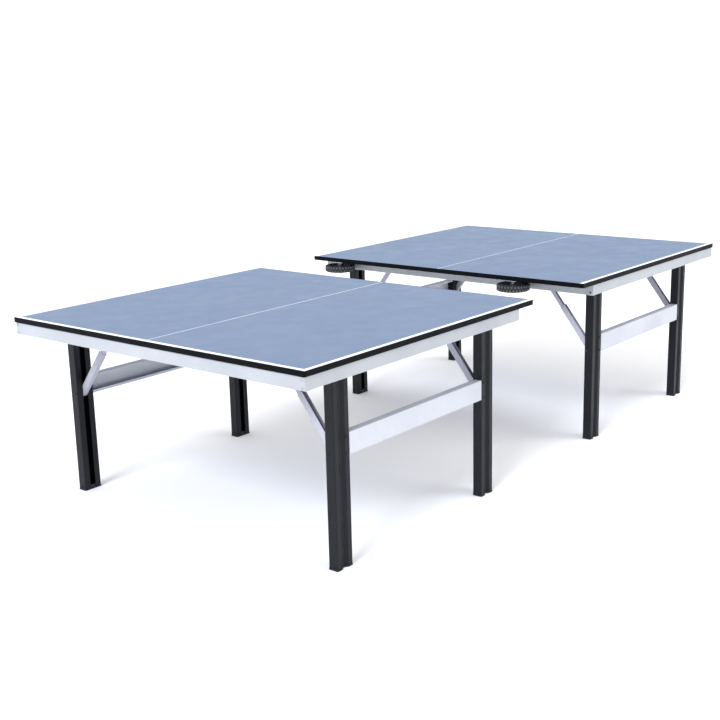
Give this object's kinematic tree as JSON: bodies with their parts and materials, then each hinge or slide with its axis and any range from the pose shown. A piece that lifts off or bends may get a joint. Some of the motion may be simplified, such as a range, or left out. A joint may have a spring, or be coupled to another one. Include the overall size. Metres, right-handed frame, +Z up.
{
  "type": "ping pong table",
  "caption": "Table tennis table in separate half tables on folding channel legs, blue tops with white lines, low crossbars, diagonal struts and flat-lying transport wheels.",
  "frame": {"origin": "on the floor under the middle of the gap between the two half tables", "axes": "+X along the side lines from the near half to the far half, +Y across the table, +Z up"},
  "size_m": [3.15, 1.525, 0.76],
  "materials": {
    "playing_top": "matt blue playing lacquer on particle board, white lines",
    "edge_band": "black edge band",
    "frame": "light silver powder coat",
    "carrier": "grey powder coat",
    "bracket": "zinc plated",
    "leg": "anthracite powder coat, semi-gloss",
    "foot": "moulded black",
    "crossbar": "light silver powder coat",
    "strut": "light grey powder coat",
    "tyre": "black treaded rubber",
    "hub": "moulded black, spoked"
  },
  "bodies": {
    "near_top": {"near_tabletop": "playing_top", "near_edge_band": "edge_band", "near_end_rail": "frame", "near_net_rail": "frame", "near_side_rail_right": "frame", "near_side_rail_left": "frame", "near_leg_carrier_end": "carrier", "near_leg_carrier_net": "carrier", "near_wheel_bracket_right": "bracket", "near_wheel_bracket_left": "bracket"},
    "far_top": {"far_tabletop": "playing_top", "far_edge_band": "edge_band", "far_end_rail": "frame", "far_net_rail": "frame", "far_side_rail_right": "frame", "far_side_rail_left": "frame", "far_leg_carrier_end": "carrier", "far_leg_carrier_net": "carrier", "far_wheel_bracket_right": "bracket", "far_wheel_bracket_left": "bracket"},
    "near_legs_right": {"near_leg_end_right": "leg", "near_leg_net_right": "leg", "near_foot_end_right": "foot", "near_foot_net_right": "foot", "near_crossbar_right": "crossbar"},
    "near_struts_right": {"near_strut_end_right": "strut", "near_strut_net_right": "strut"},
    "near_wheel_right": {"near_wheel_tyre_right": "tyre", "near_wheel_hub_right": "hub"},
    "near_legs_left": {"near_leg_end_left": "leg", "near_leg_net_left": "leg", "near_foot_end_left": "foot", "near_foot_net_left": "foot", "near_crossbar_left": "crossbar"},
    "near_struts_left": {"near_strut_end_left": "strut", "near_strut_net_left": "strut"},
    "near_wheel_left": {"near_wheel_tyre_left": "tyre", "near_wheel_hub_left": "hub"},
    "far_legs_right": {"far_leg_end_right": "leg", "far_leg_net_right": "leg", "far_foot_end_right": "foot", "far_foot_net_right": "foot", "far_crossbar_right": "crossbar"},
    "far_struts_right": {"far_strut_end_right": "strut", "far_strut_net_right": "strut"},
    "far_wheel_right": {"far_wheel_tyre_right": "tyre", "far_wheel_hub_right": "hub"},
    "far_legs_left": {"far_leg_end_left": "leg", "far_leg_net_left": "leg", "far_foot_end_left": "foot", "far_foot_net_left": "foot", "far_crossbar_left": "crossbar"},
    "far_struts_left": {"far_strut_end_left": "strut", "far_strut_net_left": "strut"},
    "far_wheel_left": {"far_wheel_tyre_left": "tyre", "far_wheel_hub_left": "hub"}
  },
  "joints": [
    {"name": "near_right_leg_fold", "type": "hinge", "parent": "near_top", "child": "near_legs_right", "pos_m": [-0.8945, -0.6965, 0.6945], "axis": [1, 0, 0], "range_deg": [0, 90]},
    {"name": "near_right_strut_fold", "type": "hinge", "parent": "near_legs_right", "child": "near_struts_right", "pos_m": [-0.8945, -0.674, 0.415], "axis": [1, 0, 0], "range_deg": [-142.5, 0]},
    {"name": "near_right_wheel_spin", "type": "hinge", "parent": "near_top", "child": "near_wheel_right", "pos_m": [-0.222, -0.605, 0.71], "axis": [0, 0, 1], "continuous": true},
    {"name": "near_left_leg_fold", "type": "hinge", "parent": "near_top", "child": "near_legs_left", "pos_m": [-0.8945, 0.6965, 0.6945], "axis": [-1, 0, 0], "range_deg": [0, 90]},
    {"name": "near_left_strut_fold", "type": "hinge", "parent": "near_legs_left", "child": "near_struts_left", "pos_m": [-0.8945, 0.674, 0.415], "axis": [-1, 0, 0], "range_deg": [-142.5, 0]},
    {"name": "near_left_wheel_spin", "type": "hinge", "parent": "near_top", "child": "near_wheel_left", "pos_m": [-0.222, 0.403, 0.71], "axis": [0, 0, 1], "continuous": true},
    {"name": "far_right_leg_fold", "type": "hinge", "parent": "far_top", "child": "far_legs_right", "pos_m": [0.8945, 0.6965, 0.6945], "axis": [-1, 0, 0], "range_deg": [0, 90]},
    {"name": "far_right_strut_fold", "type": "hinge", "parent": "far_legs_right", "child": "far_struts_right", "pos_m": [0.8945, 0.674, 0.415], "axis": [-1, 0, 0], "range_deg": [-142.5, 0]},
    {"name": "far_right_wheel_spin", "type": "hinge", "parent": "far_top", "child": "far_wheel_right", "pos_m": [0.222, 0.605, 0.71], "axis": [0, 0, 1], "continuous": true},
    {"name": "far_left_leg_fold", "type": "hinge", "parent": "far_top", "child": "far_legs_left", "pos_m": [0.8945, -0.6965, 0.6945], "axis": [1, 0, 0], "range_deg": [0, 90]},
    {"name": "far_left_strut_fold", "type": "hinge", "parent": "far_legs_left", "child": "far_struts_left", "pos_m": [0.8945, -0.674, 0.415], "axis": [1, 0, 0], "range_deg": [-142.5, 0]},
    {"name": "far_left_wheel_spin", "type": "hinge", "parent": "far_top", "child": "far_wheel_left", "pos_m": [0.222, -0.403, 0.71], "axis": [0, 0, 1], "continuous": true},
    {"name": "halves_together", "type": "slide", "parent": "near_top", "child": "far_top", "axis": [-1, 0, 0], "range_m": [0, 0.408]}
  ],
  "couplings": [
    {"joint": "near_right_strut_fold", "follows": "near_right_leg_fold", "ratio": -1.5778},
    {"joint": "near_left_strut_fold", "follows": "near_left_leg_fold", "ratio": -1.5778},
    {"joint": "far_right_strut_fold", "follows": "far_right_leg_fold", "ratio": -1.5778},
    {"joint": "far_left_strut_fold", "follows": "far_left_leg_fold", "ratio": -1.5778}
  ]
}
